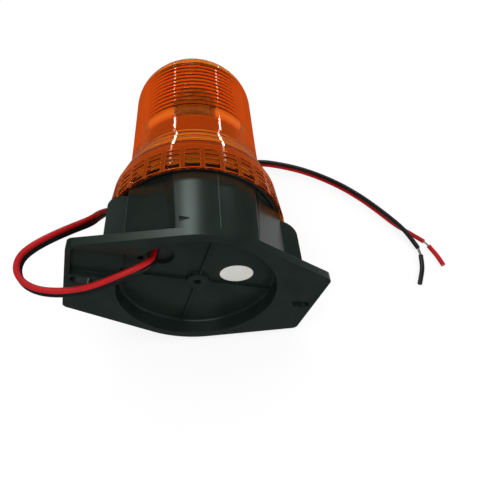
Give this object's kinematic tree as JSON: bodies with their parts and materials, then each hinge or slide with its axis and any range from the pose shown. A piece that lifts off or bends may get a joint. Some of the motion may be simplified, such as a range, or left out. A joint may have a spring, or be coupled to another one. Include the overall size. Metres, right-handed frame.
{
  "type": "strobe beacon",
  "caption": "Amber warning beacon: a ringed lens with a gridded grip collar twists off a black drum base with slotted mounting wings and a red and black lead.",
  "frame": {"origin": "centre of the mounting base's underside, on the lens axis", "axes": "+Z along the lens axis towards the dome, +X along the two mounting wings, -Y the front face"},
  "size_m": [0.2545, 0.1024, 0.1929],
  "materials": {
    "base_housing": "moulded black with a faint green cast, satin",
    "drum_cover": "moulded light grey, satin",
    "cover_screws": "zinc plated",
    "lens": "clear amber, polished",
    "lens_seal": "black rubber",
    "column_foot": "grey moulded",
    "foot_screws": "zinc plated",
    "led_carrier": "grey moulded",
    "led_boards": "white solder mask",
    "leds": "yellow phosphor",
    "driver_board": "green solder mask",
    "board_screws": "zinc plated",
    "filter_capacitors": "black sleeve",
    "choke_coil": "enamelled copper winding",
    "driver_chip": "black moulded",
    "switch_transistor": "black moulded",
    "wire_terminal": "green moulded",
    "lamp_leads": "white insulation",
    "inner_leads": "red and black insulation",
    "wire_grommet": "black rubber",
    "oval_label": "white blank sticker",
    "red_wire": "red insulation",
    "black_wire": "black insulation",
    "red_strands": "tinned strands",
    "black_strands": "tinned strands",
    "red_slug": "red insulation",
    "black_slug": "black insulation"
  },
  "bodies": {
    "base": {"base_housing": "base_housing", "drum_cover": "drum_cover", "cover_screws": "cover_screws", "column_foot": "column_foot", "foot_screws": "foot_screws", "led_carrier": "led_carrier", "led_boards": "led_boards", "leds": "leds", "driver_board": "driver_board", "board_screws": "board_screws", "filter_capacitors": "filter_capacitors", "choke_coil": "choke_coil", "driver_chip": "driver_chip", "switch_transistor": "switch_transistor", "wire_terminal": "wire_terminal", "lamp_leads": "lamp_leads", "inner_leads": "inner_leads", "wire_grommet": "wire_grommet", "oval_label": "oval_label", "red_wire": "red_wire", "black_wire": "black_wire", "red_strands": "red_strands", "black_strands": "black_strands", "red_slug": "red_slug", "black_slug": "black_slug"},
    "seal": {"lens_seal": "lens_seal"},
    "lens": {"lens": "lens"}
  },
  "joints": [
    {"name": "lens_lift", "type": "slide", "parent": "base", "child": "seal", "axis": [0, 0, 1], "range_m": [0, 0.009]},
    {"name": "lens_twist", "type": "hinge", "parent": "seal", "child": "lens", "pos_m": [0, 0, 0.065], "axis": [0, 0, 1], "range_deg": [0, 540]}
  ],
  "couplings": [
    {"joint": "lens_lift", "follows": "lens_twist", "m_per_rad": 0.00095493}
  ]
}
